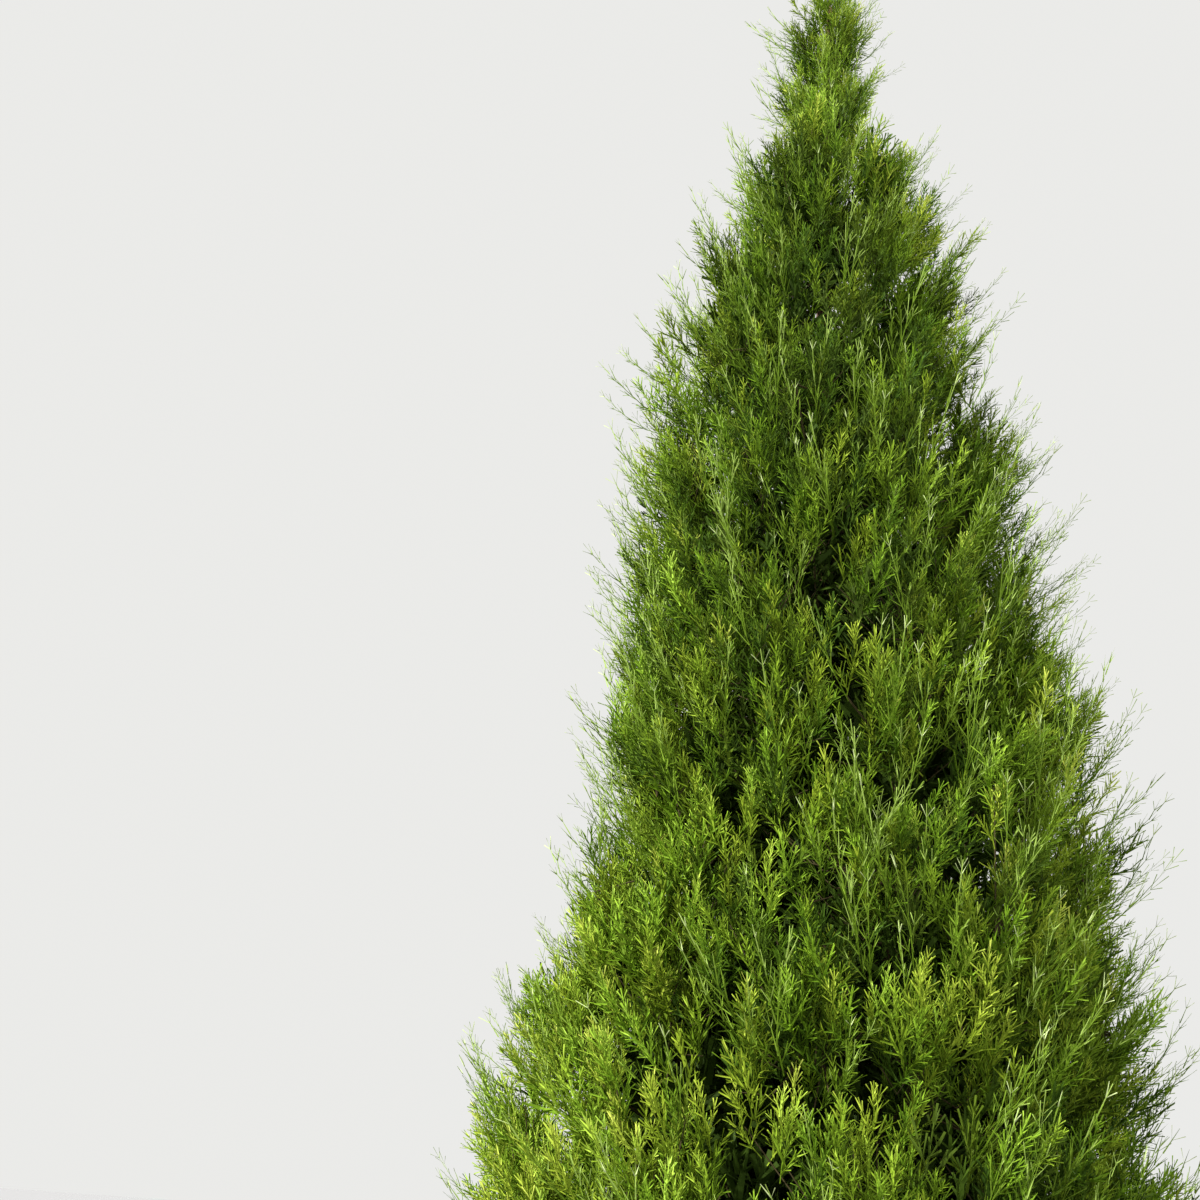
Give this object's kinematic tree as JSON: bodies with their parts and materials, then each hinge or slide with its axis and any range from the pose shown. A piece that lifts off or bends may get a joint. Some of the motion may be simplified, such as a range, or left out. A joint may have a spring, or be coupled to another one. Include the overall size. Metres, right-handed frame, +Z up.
{
  "type": "eastern red cedar tree",
  "caption": "Dense young eastern red cedar: tall narrow cone of upswept scale-leaf sprays on a straight trunk, full to near the ground, rooted on level ground.",
  "frame": {"origin": "centre of the flat cut under the trunk, at ground level", "axes": "+Z up along the trunk, the longest extent; -Y faces the picture's camera"},
  "size_m": [1.7341, 1.7425, 5],
  "materials": {
    "bark": "rough",
    "foliage": "matte"
  },
  "bodies": {
    "root": {"trunk": "bark", "bough_1_1": "bark", "bough_1_2": "bark", "bough_1_3": "bark", "bough_1_4": "bark", "bough_1_5": "bark", "bough_2_1": "bark", "bough_2_2": "bark", "bough_2_3": "bark", "bough_2_4": "bark", "bough_2_5": "bark", "bough_3_1": "bark", "bough_3_2": "bark", "bough_3_3": "bark", "bough_3_4": "bark", "bough_3_5": "bark", "foliage_1_1": "foliage", "foliage_1_2": "foliage", "foliage_1_3": "foliage", "foliage_1_4": "foliage", "foliage_1_5": "foliage", "foliage_2_1": "foliage", "foliage_2_2": "foliage", "foliage_2_3": "foliage", "foliage_2_4": "foliage", "foliage_2_5": "foliage", "foliage_3_1": "foliage", "foliage_3_2": "foliage", "foliage_3_3": "foliage", "foliage_3_4": "foliage", "foliage_3_5": "foliage", "foliage_4_1": "foliage", "foliage_4_2": "foliage", "foliage_4_3": "foliage", "foliage_4_4": "foliage", "foliage_5_1": "foliage", "foliage_5_2": "foliage", "foliage_5_3": "foliage", "foliage_5_4": "foliage", "foliage_6_1": "foliage", "foliage_6_2": "foliage", "foliage_6_3": "foliage", "foliage_6_4": "foliage", "foliage_7_1": "foliage", "foliage_7_2": "foliage", "foliage_7_3": "foliage", "foliage_8_1": "foliage", "foliage_8_2": "foliage", "foliage_8_3": "foliage", "foliage_leader": "foliage"}
  },
  "joints": []
}
